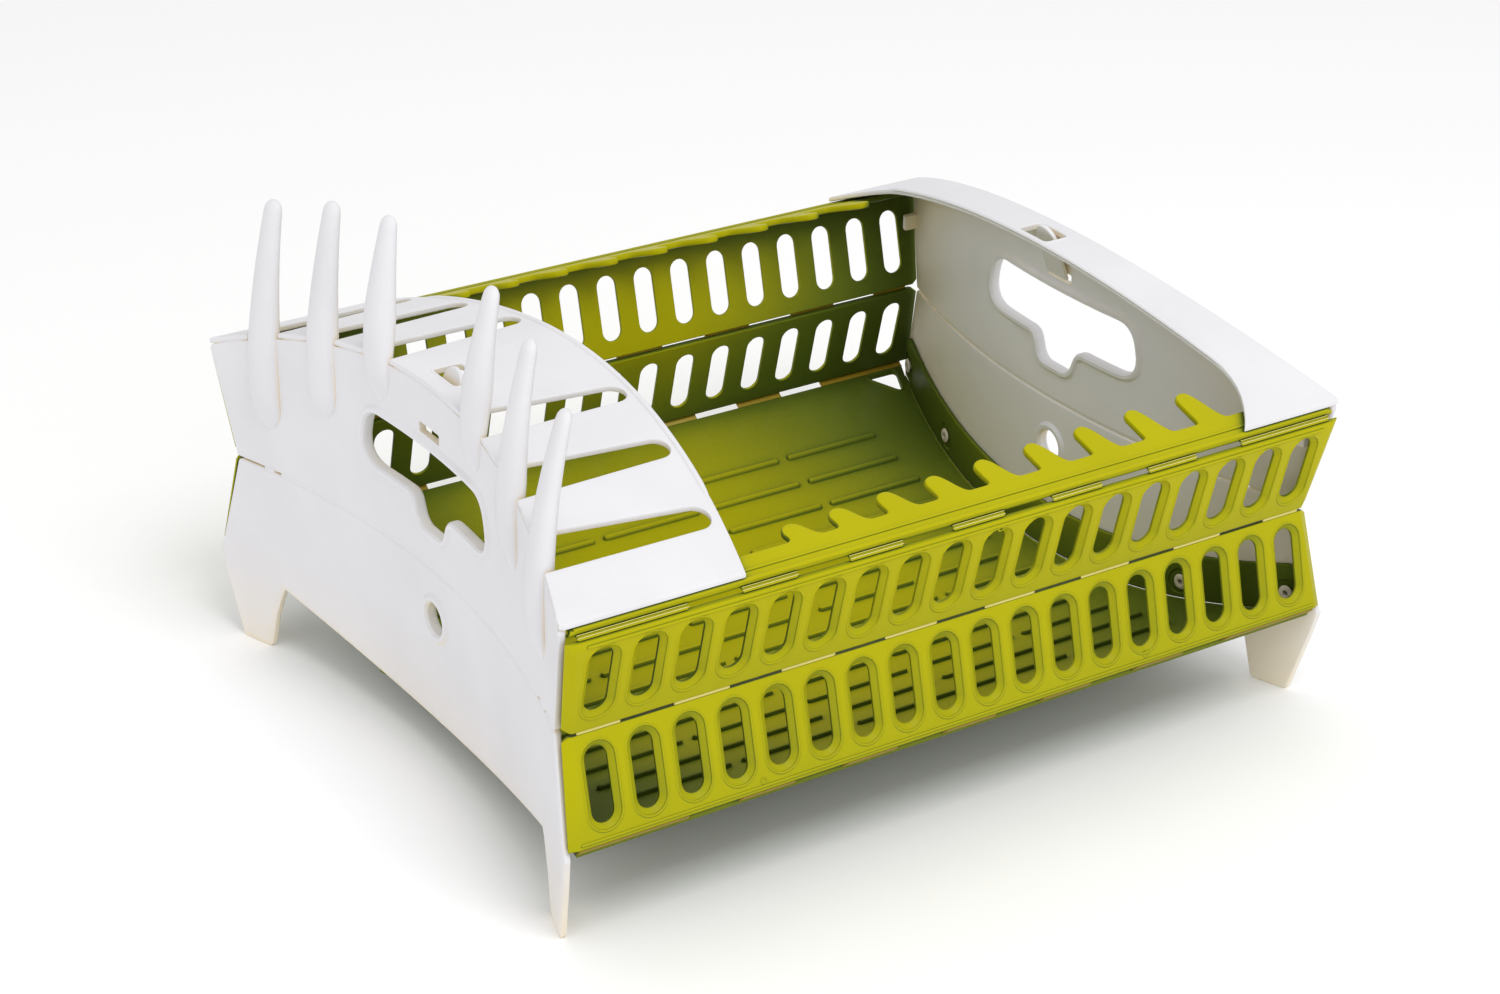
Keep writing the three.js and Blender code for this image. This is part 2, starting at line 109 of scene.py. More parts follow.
# the plate comb's nine tips as (x, height): their spacing and their height change along the comb
FRONT_TIPS = [(-92.5 + 27 * i + 0.465 * i * (i - 1), 26.8 + 1.45 * i) for i in range(9)]
BACK_TIPS = [(-165 + 34 * i - 0.35 * i * (i - 1), 38.4 - 1.45 * i) for i in range(9)]

# cup prongs: root y and z, tip x, y and z
PRONGS = (
    (48.0, 181.0, 183.5, 51.5, 275.0),
    (96.5, 154.0, 190.6, 99.0, 268.0),
    (142.0, 132.0, 200.3, 147.0, 255.0),
)
PRONG_WIDE, PRONG_TIP, PRONG_FLATNESS = 10.5, 5.7, 0.62  # half widths, and thickness over width
PRONG_BULGE = 0.026  # how far a prong bows outward, as a share of its root's distance from the middle
PRONG_ROOM = 1.6  # between a prong and the flap's slot

# corners with their radii
HAND_HOLE = (
    ((-59, 172.5), 13), ((-67, 144), 13), ((-18, 144), 9), ((-12, 128.5), 8),
    ((12, 128.5), 8), ((18, 144), 9), ((67, 144), 13), ((59, 172.5), 13),
)
HOOK_Z, HOOK_RADIUS = 80.5, 8.5
TONGUE_FOOT, TONGUE_HEAD, TONGUE_WIDTH, TONGUE_THICK = (188.2, 182.0), (176.5, 213.0), 17.0, 2.4


def bow(y):
    """0 at the middle of an end wall and 1 at its edges."""
    return (y / HALF_WIDTH) ** 2


def wall_x(y):
    return WALL_MID + WALL_BOW * bow(y)


def outer_x(y):
    return wall_x(y) + WALL_THICK / 2


def wall_turn(y):
    """The angle at which the bowed wall has turned away from the Y axis."""
    return math.atan(2 * WALL_BOW * y / HALF_WIDTH**2)


def tray_z(y):
    return TRAY_MID + TRAY_RISE * bow(y)


def wall_top(y):
    return WALL_TOP_MID - WALL_TOP_DROP * bow(y)


def flap_under(y):
    return FLAP_UNDER_MID - WALL_TOP_DROP * bow(y)


def wide_flap_x(y):
    return WIDE_MID + WIDE_BOW * bow(y)


def narrow_flap_x(y):
    turn = max(0.0, abs(y) - NARROW_TURN_FROM) / NARROW_TURN_LONG
    return NARROW_MID + NARROW_BOW * bow(y) - NARROW_TURN_IN * turn**2


# ---------- sizes and colours that a user would change ----------
def linear(code):
    """An sRGB hex colour as linear red, green, blue and alpha."""
    parts = [int(code[i : i + 2], 16) / 255 for i in (1, 3, 5)]
    return [c / 12.92 if c <= 0.04045 else ((c + 0.055) / 1.055) ** 2.4 for c in parts] + [1.0]


def length(name, description, millimetres):
    return FloatProperty(
        name=name, description=description, default=millimetres * MM, min=0, unit="LENGTH", precision=5
    )


def colour(name, description, value):
    return FloatVectorProperty(
        name=name, description=description, default=linear(value), size=4, min=0, max=1, subtype="COLOR"
    )


def share(name, description, value):
    return FloatProperty(
        name=name, description=description, default=value, min=0, max=1, subtype="FACTOR"
    )


class RackSizes(bpy.types.PropertyGroup):
    """Moulded details of the rack."""

    edge_round: length("Edge rounding", "Radius of the moulded edges", 0.7)
    rim_width: length("Slot rim width", "Width of the sloping rim round each side slot", 3.6)
    rim_depth: length("Slot rim depth", "How far the slot's rim slopes into the panel", 2.1)
    bead_height: length("Hole bead height", "How far the hand hole's rim stands proud", 1.5)
    bead_width: length("Hole bead width", "Width of the hand hole's rim", 5.0)
    rib_height: length("Tray rib height", "Height of the ribs on the tray", 2.4)
    web_thick: length("Hinge web thickness", "Thickness of the living hinges", 0.7)
    window_long: length("Hinge window length", "Length of the openings between hinge webs", 28.5)
    window_pitch: length("Hinge window pitch", "Distance from one hinge window to the next", 58.6)


class RackFinish(bpy.types.PropertyGroup):
    """Colours and surface of the mouldings, with the painted shade colours of their hidden faces."""

    lime: colour("Lime", "Open faces of the green moulding", "#B2AC03")
    # painted shade: the deep green painted on faces hidden from the room, standing in for shade and green
    # bounce light
    olive: colour("Olive", "Enclosed faces of the green moulding", "#627426")
    hinge: colour("Hinge web", "Thin, stretched green plastic", "#DCD27C")
    # painted shade: the dark yellow painted on hinge webs hidden from the room
    amber: colour("Enclosed hinge web", "Thin plastic where little light falls on it", "#9C8426")
    white: colour("White", "Open faces of the white moulding", "#E0DFE2")
    # painted shade: the warm cream painted on white faces and eyelets hidden from the room, standing in for
    # shade and warm bounce light
    shade: colour("Warm white", "Enclosed faces of the white moulding", "#F0E4CC")
    eyelet: colour("Eyelet", "Rivets", "#D9D5C0")
    green_roughness: share("Green roughness", "Roughness of the green moulding", 0.38)
    white_roughness: share("White roughness", "Roughness of the white moulding", 0.34)
    grain: length("Spark grain", "Spacing of the mould's fine spark-eroded grain", 0.9)


def sizes():
    return bpy.context.scene.rack_sizes


def finish_settings():
    return bpy.context.scene.rack_finish


# ---------- outlines ----------
def steps(start, end, count, point):
    """The points that a function gives at even steps from start to end."""
    return [point(start + (end - start) * i / count) for i in range(count + 1)]


def turned_left(loop):
    """The loop in the order that keeps its inside on the left."""
    area = sum(a[0] * b[1] - b[0] * a[1] for a, b in zip(loop, loop[1:] + loop[:1]))
    return list(loop) if area > 0 else list(reversed(loop))


def arc_point(start, corner, end, t):
    """A point on the quadratic arc that leaves start and meets end along the lines to the corner."""
    return tuple(Vector(start) * (1 - t) ** 2 + Vector(corner) * 2 * t * (1 - t) + Vector(end) * t**2)


def rounded(corners, count=5):
    """A polygon of ((x, y), radius) corners, each rounded by a quadratic arc."""
    points = []
    for i, (corner, radius) in enumerate(corners):
        here = Vector(corner)
        if radius == 0:
            points.append(tuple(here))
            continue
        inward = (Vector(corners[i - 1][0]) - here).normalized()
        outward = (Vector(corners[(i + 1) % len(corners)][0]) - here).normalized()
        half = inward.angle(outward) / 2
        reach = radius / math.tan(half)
        start, end = here + inward * reach, here + outward * reach
        points += steps(0, 1, count, lambda t: arc_point(start, here, end, t))
    return points


def obround(cx, cy, wide, tall, count=8):
    """A slot's outline: two half circles joined by straight sides."""
    r = min(wide, tall) / 2
    rx, ry = wide / 2 - r, tall / 2 - r
    first = 0.0 if tall >= wide else -math.pi / 2
    half = steps(first, first + math.pi, count, lambda a: (r * math.cos(a) + rx, r * math.sin(a) + ry))
    return [(cx + x, cy + y) for x, y in half] + [(cx - x, cy - y) for x, y in half]


def full_turn(count):
    """Evenly spaced angles round a circle."""
    return [2 * math.pi * i / count for i in range(count)]


def circle(cx, cy, radius, count=24):
    return [(cx + radius * math.cos(a), cy + radius * math.sin(a)) for a in full_turn(count)]


def inset(loop, distance):
    """The loop moved to its left by a distance, with mitred corners that are cut short when sharp."""
    sharpest = 0.35
    moved = []
    for i, here in enumerate(loop):
        a = Vector(here) - Vector(loop[i - 1])
        b = Vector(loop[(i + 1) % len(loop)]) - Vector(here)
        na, nb = Vector((-a.y, a.x)).normalized(), Vector((-b.y, b.x)).normalized()
        mitre = (na + nb) / max(sharpest, 1 + na.dot(nb))
        moved.append(tuple(Vector(here) + mitre * distance))
    return moved


# ---------- edge profiles: (inset into the material, level) from the lower face to the upper ----------
def round_edge(low, high, radius=None):
    """A plain edge with both its corners rounded, as far as the thickness has room for."""
    r = min(radius or sizes().edge_round / MM, (high - low) * 0.45)
    soft = r * (1 - math.sqrt(0.5))
    return [(r, low), (soft, low + soft), (0, low + r), (0, high - r), (soft, high - soft), (r, high)]


def beaded_edge(low, high):
    """A rim that stands proud of both faces and rolls over into the hole."""
    h, w = sizes().bead_height / MM, sizes().bead_width / MM
    up = [(0.5, high + 0.45 * h), (0.25 * w, high + h), (0.62 * w, high + h), (0.85 * w, high + 0.35 * h)]
    up += [(w, high)]
    down = [(d, low + high - level) for d, level in reversed(up)]
    return down + [(0, low + 0.2), (0, high - 0.2)] + up


def funnel_edge(low, high):
    """A plain hole that opens into a sloping rim, with a fine raised line round it."""
    w, d = sizes().rim_width / MM, sizes().rim_depth / MM
    hole = [(0.5, low), (0.15, low + 0.15), (0, low + 0.5), (0, high - d - 0.3), (0.35, high - d)]
    line = [(w - 1.0, high - 0.45), (w - 0.75, high + 0.05), (w - 0.4, high + 0.3), (w, high + 0.3)]
    return hole + line + [(w + 0.5, high)]


def bump_edge(low, high, slope):
    """A rib or a mark that rises from inside a face."""
    return [(0, low), (0, high - slope), (slope * 0.35, high - slope * 0.3), (slope, high)]


# ---------- solids: each is a list of points and a list of faces, in millimetres ----------
def slab(loops, place, cuts=()):
    """A closed sheet. Each loop is an outline or a hole with its edge profile; place bends the sheet."""
    flat = bmesh.new()
    ends = {0: [], -1: []}
    for number, (loop, profile) in enumerate(loops):
        loop = turned_left(loop)
        if number:
            loop.reverse()
        rings = [
            [flat.verts.new((x, y, level)) for x, y in inset(loop, distance)]
            for distance, level in profile
        ]
        count = len(loop)
        for low, high in zip(rings, rings[1:]):
            for i in range(count):
                flat.faces.new((low[i], low[(i + 1) % count], high[(i + 1) % count], high[i]))
        for end, edges in ends.items():
            ring = rings[end]
            edges += [flat.edges.get((ring[i], ring[(i + 1) % count])) for i in range(count)]
    for edges in ends.values():
        bmesh.ops.triangle_fill(flat, use_beauty=True, use_dissolve=False, edges=edges)
    for point, normal in cuts:
        everything = flat.verts[:] + flat.edges[:] + flat.faces[:]
        bmesh.ops.bisect_plane(flat, geom=everything, plane_co=point, plane_no=normal, dist=1e-5)
    bmesh.ops.recalc_face_normals(flat, faces=flat.faces)
    return taken(flat, place)


def taken(flat, place):
    """The flat mesh as points and faces, with every point put in its place."""
    flat.verts.index_update()
    points = [tuple(place(*v.co)) for v in flat.verts]
    faces = [[v.index for v in face.verts] for face in flat.faces]
    flat.free()
    return points, faces


def loft(rings, closed=False):
    """A skin over rings of equally many points, capped at both ends unless it closes on itself."""
    count = len(rings[0])
    points = [tuple(p) for ring in rings for p in ring]
    faces = []
    spans = len(rings) if closed else len(rings) - 1
    for r in range(spans):
        a, b = r * count, ((r + 1) % len(rings)) * count
        faces += [[a + i, a + (i + 1) % count, b + (i + 1) % count, b + i] for i in range(count)]
    if not closed:
        faces += [list(reversed(range(count))), [(len(rings) - 1) * count + i for i in range(count)]]
    return points, faces


def tube(path, radius, flatten=1.0, count=10):
    """A round bead along a path, tapering to closed ends."""
    rings = []
    path = [Vector(p) for p in path]
    last = len(path) - 1
    tip, shoulder = 0.25, 0.8  # shares of the radius at the ends and next to them
    for i, here in enumerate(path):
        along = (path[min(i + 1, last)] - path[max(i - 1, 0)]).normalized()
        side = along.cross(Vector((0, 0, 1))).normalized()
        up = side.cross(along)
        r = radius * (tip if i in (0, last) else shoulder if i in (1, last - 1) else 1.0)
        rings.append([
            here + side * (r * math.cos(a)) + up * (r * flatten * math.sin(a)) for a in full_turn(count)
        ])
    return loft(rings)


def strip_cuts(start, end, spacing, axis):
    """Cuts that part a flat sheet into strips across axis 0 or 1, so that it can bend smoothly."""
    normal = (1, 0, 0) if axis == 0 else (0, 1, 0)
    count = round((end - start) / spacing)
    return [(Vector(normal) * (start + (end - start) * i / count), normal) for i in range(1, count)]


def bowed_cuts(reach):
    """The cuts of a sheet of (y, z) that is to follow the walls' bow."""
    return [((y, 0, 0), (1, 0, 0)) for y in range(-reach, reach + 1, 8)]


def pin_mark(x, y, radii, count, profile, place):
    """The ring that one of the mould's ejector pins leaves."""
    return slab([(circle(x, y, radius, count), profile) for radius in radii], place)


# ---------- where flat sheets go ----------
def on_wall(side):
    """(y, z, outward) on the bowed end wall, side +1 or -1 along X."""
    return lambda y, z, out: (side * (wall_x(y) + out), side * y, z)


def on_tray(x, y, up):
    """(x, y, height above the tray's lower face)"""
    return x, y, tray_z(y) - TRAY_THICK + up


def on_flap(side):
    """(distance from the middle plane, y, height above the flap's lower face)"""
    return lambda x, y, up: (side * x, side * y, flap_under(y) + up)


def on_flange(side):
    """(y, height above the tray, outward)"""
    return lambda y, rise, out: (side * (wall_x(y) - FLANGE_SETBACK + out), side * y, tray_z(y) + rise)


def on_side(back, level):
    """(x, height along the sheet, outward) on a side sheet of the front or of the turned back side."""
    turn, y0, z0, base = {
        "lower": (-LEAN, -SIDE_Y, SIDE_Z, 0.0),
        "upper": (LEAN, -SIDE_Y, TOP_Z, -SIDE_HEIGHT),
        "strip": (STRIP_TILT, -SIDE_Y, TOP_Z, 0.0),
    }[level]
    flip = -1 if back else 1
    cos, sin = math.cos(turn), math.sin(turn)

    def place(x, height, out):
        h = height + base
        if level == "strip":
            y, z = h * cos - out * sin, h * sin + out * cos
        else:
            y, z = -out * cos - h * sin, -out * sin + h * cos
        return flip * x, flip * (y0 + y), z0 + z

    return place


def side_reach(level, height):
    """Half the length of a side sheet at a height along it."""
    y = on_side(False, level)(0, height, 0)[1]
    return wall_x(y) - SIDE_END_GAP if level == "strip" else wall_x(y) + SIDE_OVERLAP


# ---------- materials ----------
# the shares of open room between which a face's colour goes over from the painted shade colour to its own
# colour
GREEN_SHADE_SIGHT, WHITE_SHADE_SIGHT = (0.46, 0.93), (0.3, 0.72)
# slot, own colour and painted shade colour, roughness, sight range of the painted shade, depth of the
# painted corner shade, light that comes through
PLASTICS = {
    # lime masterbatch, bright and yellow; inside the basket it is painted a deep green shade, standing in
    # for shade and green bounce light
    "lime_moulded_polypropylene":
        ("green_pp", "lime", "olive", "green_roughness", GREEN_SHADE_SIGHT, 0.5, 0.0),
    # a cool white; where its neighbours hide the room it is painted a warm cream shade, standing in for
    # shade and warm bounce light
    "white_moulded_polypropylene":
        ("white_pp", "white", "shade", "white_roughness", WHITE_SHADE_SIGHT, 1.0, 0.0),
    # flexing draws the polymer out, which makes it paler and cloudier than the panels beside it; where
    # hidden from the room it is painted a dark yellow shade
    "stretched_polypropylene_hinge":
        ("green_pp", "hinge", "amber", "green_roughness", GREEN_SHADE_SIGHT, 0.8, 0.2),
    # undyed, so greyer and a little yellower than the white walls; painted the warm cream shade where
    # hidden from the room
    "eyelet_moulded_polypropylene":
        ("rivet_pp", "eyelet", "shade", "white_roughness", WHITE_SHADE_SIGHT, 0.7, 0.0),
}
LIME, WHITE, WEB, EYELET = PLASTICS
SIGHT_REACH = 160.0  # how far a face looks round for its neighbours, for the painted shade
FLOW_CLOUD, SHRINK_WAVE = 60.0, 35.0  # sizes of the melt's colour clouds and of the sink waves
SPECULAR = 0.09  # the grain scatters most of the gloss
IOR = 1.49  # polypropylene


def add_node(tree, kind, settings=(), **inputs):
    """Adds a node, sets its properties, and fills or links its sockets by name or number."""
    node = tree.nodes.new(kind)
    for key, value in dict(settings).items():
        setattr(node, key, value)
    for key, value in inputs.items():
        numbered = key[0] == "n" and key[1:].isdigit()
        socket = node.inputs[int(key[1:]) if numbered else key.replace("_", " ")]
        if isinstance(value, bpy.types.NodeSocket):
            tree.links.new(value, socket)
        else:
            socket.default_value = value
    return node


def polypropylene(name):
    """Injection-moulded polypropylene, slightly waxy and translucent, with a fine satin spark grain. Where
    a face's neighbours hide the room, its colour is painted over with a shade colour, and tight corners are
    painted darker."""
    made = bpy.data.materials.get(name)
    if made:
        return made
    _, *words, sight, corner_shade_depth, thin = PLASTICS[name]
    open_colour, painted_shade_colour, roughness = (getattr(finish_settings(), word) for word in words)
    made = bpy.data.materials.new(name)
    made.use_nodes = True
    tree = made.node_tree
    tree.nodes.clear()
    place = add_node(tree, "ShaderNodeTexCoord").outputs["Object"]
    # melt flow leaves clouds of slightly lighter and darker colour
    flow = add_node(
        tree, "ShaderNodeTexNoise", Vector=place, Scale=1 / (FLOW_CLOUD * MM), Detail=3.0, Roughness=0.55
    )
    drift = add_node(
        tree, "ShaderNodeMapRange", n0=flow.outputs["Fac"],
        From_Min=0.3, From_Max=0.7, To_Min=0.965, To_Max=1.03,
    )
    # painted shade: a face whose neighbours hide the room from it is painted toward the shade colour,
    # standing in for its shadow and the tinted bounce light there
    reach = add_node(tree, "ShaderNodeAmbientOcclusion", {"samples": 12}, Distance=SIGHT_REACH * MM)
    shade_mask = add_node(
        tree, "ShaderNodeMapRange", {"interpolation_type": "SMOOTHSTEP"},
        n0=reach.outputs["AO"], From_Min=sight[0], From_Max=sight[1], To_Min=0.0, To_Max=1.0,
    )
    shade_tint = add_node(
        tree, "ShaderNodeMix", {"data_type": "RGBA"},
        n0=shade_mask.outputs["Result"], n6=painted_shade_colour, n7=open_colour,
    )
    # painted shade: corners that see little of the room are painted darker, standing in for the shade that
    # falls there
    corner = add_node(
        tree, "ShaderNodeMapRange", n0=reach.outputs["AO"],
        From_Min=0.25, From_Max=0.62, To_Min=corner_shade_depth, To_Max=1.0,
    )
    cloud_and_shade = add_node(
        tree, "ShaderNodeMath", {"operation": "MULTIPLY"},
        n0=corner.outputs["Result"], n1=drift.outputs["Result"],
    )
    # the melt's real colour clouds times the painted corner shade
    clouded_and_shaded_colour = add_node(
        tree, "ShaderNodeVectorMath", {"operation": "SCALE"},
        n0=shade_tint.outputs[2], Scale=cloud_and_shade.outputs["Value"],
    )
    # the walls shrink unevenly as they cool, which leaves them faintly wavy
    shrink = add_node(
        tree, "ShaderNodeTexNoise", Vector=place, Scale=1 / (SHRINK_WAVE * MM), Detail=1.0
    )
    wave = add_node(
        tree, "ShaderNodeBump", Strength=0.10, Distance=0.0006, Height=shrink.outputs["Fac"]
    )
    # spark grain of about 0.1 mm, drawn coarser so that it shows
    grain = add_node(
        tree, "ShaderNodeTexNoise", Vector=place, Scale=1 / finish_settings().grain,
        Detail=2.0, Roughness=0.6,
    )
    bump = add_node(
        tree, "ShaderNodeBump", Strength=0.06, Distance=0.00012, Height=grain.outputs["Fac"],
        Normal=wave.outputs["Normal"],
    )
    satin = add_node(
        tree, "ShaderNodeMapRange", n0=flow.outputs["Fac"], From_Min=0.3, From_Max=0.7,
        To_Min=roughness - 0.05, To_Max=roughness + 0.06,
    )
    surface = add_node(
        tree, "ShaderNodeBsdfPrincipled", Base_Color=clouded_and_shaded_colour.outputs["Vector"],
        Roughness=satin.outputs["Result"], Normal=bump.outputs["Normal"], IOR=IOR,
    )
    surface.inputs["Specular IOR Level"].default_value = SPECULAR
    if thin:
        surface.inputs["Subsurface Weight"].default_value = thin
        surface.inputs["Subsurface Radius"].default_value = (0.004, 0.003, 0.001)
        surface.inputs["Subsurface Scale"].default_value = 0.6
    add_node(tree, "ShaderNodeOutputMaterial", Surface=surface.outputs["BSDF"])
    return made


# ---------- pieces ----------
def piece(name, solids, plastic, body=None, stands_for=(), between=None, sharp=38):
    """Makes one object of closed solids, and rides it on a body, or, when given two bodies to lie between,
    leaves it fixed in place.
    """
    points, faces = [], []
    for more_points, more_faces in solids:
        base = len(points)
        points += [Vector(p) * MM for p in more_points]
        faces += [[i + base for i in face] for face in more_faces]
    mesh = bpy.data.meshes.new(name)
    mesh.from_pydata(points, [], faces)
    check = bmesh.new()
    check.from_mesh(mesh)
    bmesh.ops.remove_doubles(check, verts=check.verts, dist=1e-7)
    bmesh.ops.recalc_face_normals(check, faces=check.faces)
    open_edges = [e for e in check.edges if not e.is_manifold]
    check.to_mesh(mesh)
    check.free()
    if open_edges:
        raise RuntimeError(f"{name} has {len(open_edges)} open edges")
    mesh.materials.append(polypropylene(plastic))
    mesh.shade_smooth()
    mesh.set_sharp_from_angle(angle=math.radians(sharp))
    made = bpy.data.objects.new(name, mesh)
    bpy.context.scene.collection.objects.link(made)
    weighted = made.modifiers.new("Flat faces stay flat", "WEIGHTED_NORMAL")
    weighted.keep_sharp = True
    if between:
        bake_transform(made)
    else:
        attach(made, body)
    if stands_for:
        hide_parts(*stands_for)
    return made


def tray_piece():
    """The sagging floor with its corner drains, dashed ribs and pin marks."""
    top = TRAY_THICK
    edge = steps(-TRAY_EDGE, TRAY_EDGE, 40, lambda y: (wall_x(y) - SIDE_END_GAP - FLANGE_THICK, y))
    outline = edge + [(-x, -y) for x, y in edge]
    loops = [(outline, round_edge(0, top))]
    drain = rounded(DRAIN)
    rim = [(0.5, 0), (0.1, 0.2), (0, 0.6), (0, top), (0.5, top + 0.6), (1.2, top + 0.6), (1.8, top)]
    for sx in (1, -1):
        for sy in (1, -1):
            loops.append(([(x * sx, y * sy) for x, y in drain], rim))
    solids = [slab(loops, on_tray, strip_cuts(-TRAY_EDGE, TRAY_EDGE, 9, axis=1))]
    rooted = top - 0.6  # ribs and marks start inside the floor
    profile = bump_edge(rooted, top + sizes().rib_height / MM, 1.4)
    for row in RIB_ROWS:
        for dash in RIB_DASHES:
            rib = obround(dash * RIB_PITCH, row * RIB_ROW_PITCH, RIB_LONG, RIB_WIDE, 5)
            solids.append(slab([(rib, profile)], on_tray))
    profile = bump_edge(rooted, top + 0.3, 0.25)
    for x, y in TRAY_PIN_MARKS:
        solids.append(pin_mark(x, y, (5.2, 4.2), 24, profile, on_tray))
    return piece("sagging_tray", solids, LIME, "tray", ("tray_floor",))


def panel_piece(side, level):
    """A slotted panel with chamfered ends. Its corners at the middle crease are cut off, and the
    upper one's top edge is bevelled."""
    lower = level == "lower"
    hinge_gap, crease_gap = 1.0, 0.6
    low, high = (hinge_gap, SIDE_HEIGHT - crease_gap) if lower else (crease_gap, SIDE_HEIGHT - hinge_gap)
    top = SIDE_THICK
    reach = {h: side_reach(level, h) for h in (low, high)}
    notch_long, notch_tall = 3.0, 2.4
    crease, inner = (high, high - notch_tall) if lower else (low, low + notch_tall)
    corner = [(side_reach(level, inner), inner), (reach[crease] - notch_long, crease)]
    right = [(reach[low], low)] + corner if lower else corner[::-1] + [(reach[high], high)]
    outline = right + [(-x, y) for x, y in reversed(right)]
    loops = [(outline, round_edge(0, top))]
    slot_middle = SIDE_HEIGHT / 2 + 1
    for i in range(SLOT_COUNT):
        x = (i - (SLOT_COUNT - 1) / 2) * SLOT_PITCH
        loops.append((obround(x, slot_middle, SLOT_WIDTH, SLOT_LENGTH, 9), funnel_edge(0, top)))
    band, chamfer, thin_edge = 4.4, 0.9, 1.0
    bevel_from, bevel_slope = 50.3, 0.2
    rise = (reach[high] - reach[low]) / (high - low)
    cuts = []
    for s in (1, -1):
        cuts.append(((s * (reach[low] - band), low, 0), Vector((1, -s * rise, 0)).normalized()))
    if not lower:
        cuts.append(((0, bevel_from, 0), (0, 1, 0)))
    flat = on_side(side == "back", level)

    def place(x, height, out):
        over = abs(x) - (reach[low] + rise * (height - low) - band)
        if out > 0.5 * top:
            if not lower and height > bevel_from:
                out -= bevel_slope * (height - bevel_from)
            if over > 0:
                out = thin_edge + (out - thin_edge) * (1 - chamfer * over / band)
        return flat(x, height, out)

    solids = [slab(loops, place, cuts)]
    rooted = top - 0.5
    for x, y in PANEL_PIN_MARKS[level]:
        solids.append(pin_mark(x, y, (1.9, 1.1), 16, bump_edge(rooted, top + 0.2, 0.2), flat))
    ridge_at = 3.4 if lower else SIDE_HEIGHT - 3.6
    ridge = obround(0, ridge_at, 2 * (reach[low] - band - 1), 1.5, 4)
    solids.append(slab([(ridge, bump_edge(rooted, top + 0.45, 0.4))], flat))
    return piece(
        f"{side}_{level}_slotted_panel", solids, LIME, f"{side}_{level}",
        (f"{side}_{level}_panel",), sharp=26,
    )


def strip_piece(side, tips):
    """A plate comb: each tooth has a long rounded back, a blunt nose and a steep, filleted front."""
    hinge_gap = 1.0
    reach = side_reach("strip", GULLET)
    low_reach = side_reach("strip", hinge_gap) - 0.3
    top = STRIP_THICK
    edge = []
    for x, height in reversed(tips):
        back = (x + 15, GULLET), (x + 9.5, GULLET), (x + 7.5, height), (x + 1.2, height)
        edge += steps(0, 1, 10, lambda t: tuple(
            Vector(arc_point(*back[:3], t)).lerp(Vector(arc_point(*back[1:], t)), t)
        ))
        nose = (x + 1.2, height), (x - 4.4, height), (x - 4.5, height - 5.2)
        edge += steps(0, 1, 6, lambda t: arc_point(*nose, t))[1:]
        foot = (x - 3.6, GULLET + 2.6), (x - 3.0, GULLET), (x - 6.2, GULLET)
        edge += steps(0, 1, 4, lambda t: arc_point(*foot, t))
    outline = [(-low_reach, hinge_gap), (low_reach, hinge_gap), (reach, GULLET)] + edge
    outline.append((-reach, GULLET))
    place = on_side(side == "back", "strip")
    solids = [slab([(outline, round_edge(0, top, 1.1))], place)]
    # two raised lines along the hinge
    for height, width, proud in ((2.2, 2.2, 0.7), (7.2, 1.6, 0.6)):
        line = obround(0, height, 2 * low_reach - 4, width, 4)
        solids.append(slab([(line, bump_edge(top - 0.6, top + proud, 0.5))], place))
    return piece(f"{side}_plate_comb", solids, LIME, f"{side}_strip", (f"{side}_plate_strip",))


def web_spans(reach, offset):
    """The lengths of hinge web left between the windows, with windows centred offset pitches from 0."""
    pitch, window = sizes().window_pitch / MM, sizes().window_long / MM
    count = int((reach - 0.5 * window) / pitch - offset)
    centres = [(k + offset) * pitch for k in range(-count - (1 if offset else 0), count + 1)]
    starts = [-reach] + [c + window / 2 for c in centres]
    ends = [c - window / 2 for c in centres] + [reach]
    return list(zip(starts, ends))


def web_piece(side, word, bodies, spans, line, section, bend, plastic=WEB):
    """Lengths of web along a hinge line (y, z), with slightly smaller ends. The section and the
    start and end of the bend are (y, z) steps away from the line."""
    flip = -1 if side == "back" else 1
    taper_long, taper = 0.6, 0.6
    profile, ends = [[(line[0] + y, line[1] + z) for y, z in points] for points in (section, bend)]
    cy = sum(p[0] for p in profile) / len(profile)
    cz = sum(p[1] for p in profile) / len(profile)
    solids = []
    for a, b in spans:
        rings = []
        for x, shrink in ((a, taper), (a + taper_long, 1.0), (b - taper_long, 1.0), (b, taper)):
            rings.append([
                (flip * x, flip * (cy + (y - cy) * shrink), cz + (z - cz) * shrink) for y, z in profile
            ])
        solids.append(loft(rings))
    ends = [(0, MM * flip * y, MM * z) for y, z in ends]
    return piece(f"{side}_{word}", solids, plastic, between=(*bodies, *ends))


